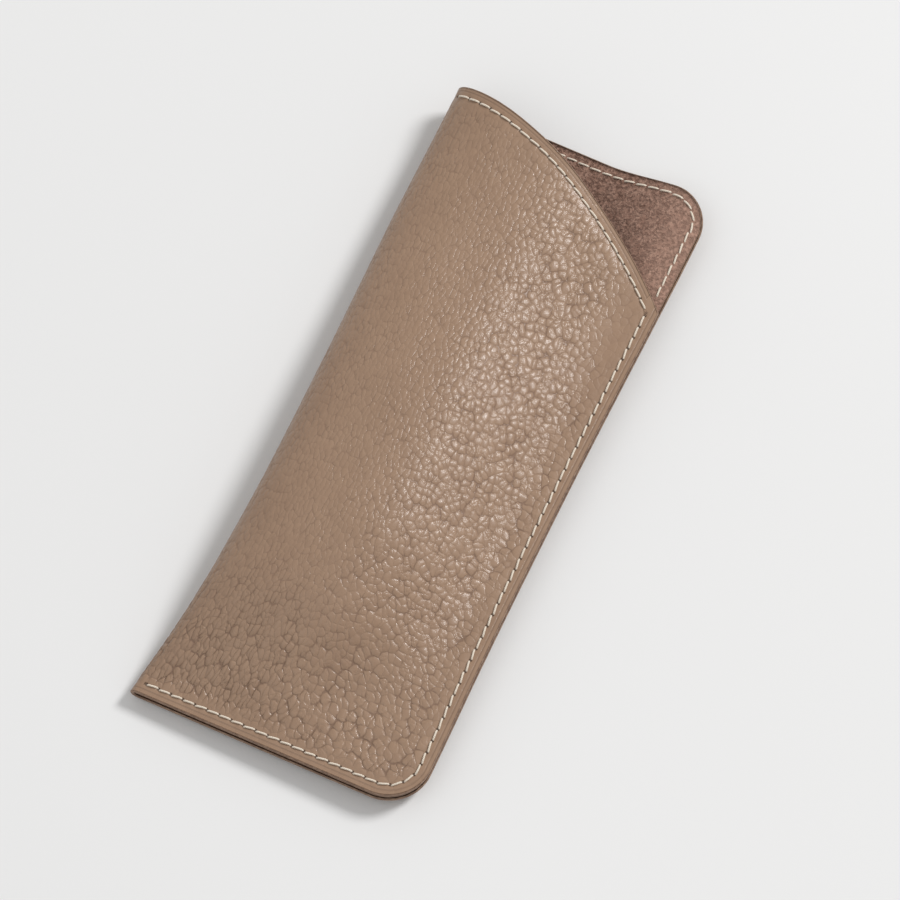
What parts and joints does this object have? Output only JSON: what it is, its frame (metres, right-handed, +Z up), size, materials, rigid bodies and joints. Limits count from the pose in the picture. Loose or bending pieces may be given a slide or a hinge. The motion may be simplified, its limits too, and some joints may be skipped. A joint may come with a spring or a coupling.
{
  "type": "soft pouch glasses case",
  "caption": "Soft slip-in glasses case of pebbled leather lined with suede, sewn along the bottom and one side, with a slanting curved mouth and a back tab.",
  "frame": {"origin": "middle of the rectangle that the case rests on, lying on its back", "axes": "+Y along the case towards its mouth, +X from the fold to the sewn side, +Z up through the front"},
  "size_m": [0.072, 0.17, 0.0194],
  "materials": {
    "leather": "pebbled, semi-matt",
    "interlining": "thin bonded nonwoven",
    "suede": "suede nap",
    "thread": "twisted polyester thread"
  },
  "bodies": {
    "root": {"outer_leather": "leather", "interlining": "interlining", "suede_lining": "suede", "closing_seam_needle_thread": "thread", "closing_seam_bobbin_thread": "thread", "mouth_seam_needle_thread": "thread", "mouth_seam_bobbin_thread": "thread", "tab_seam_needle_thread": "thread", "tab_seam_bobbin_thread": "thread"}
  },
  "joints": []
}
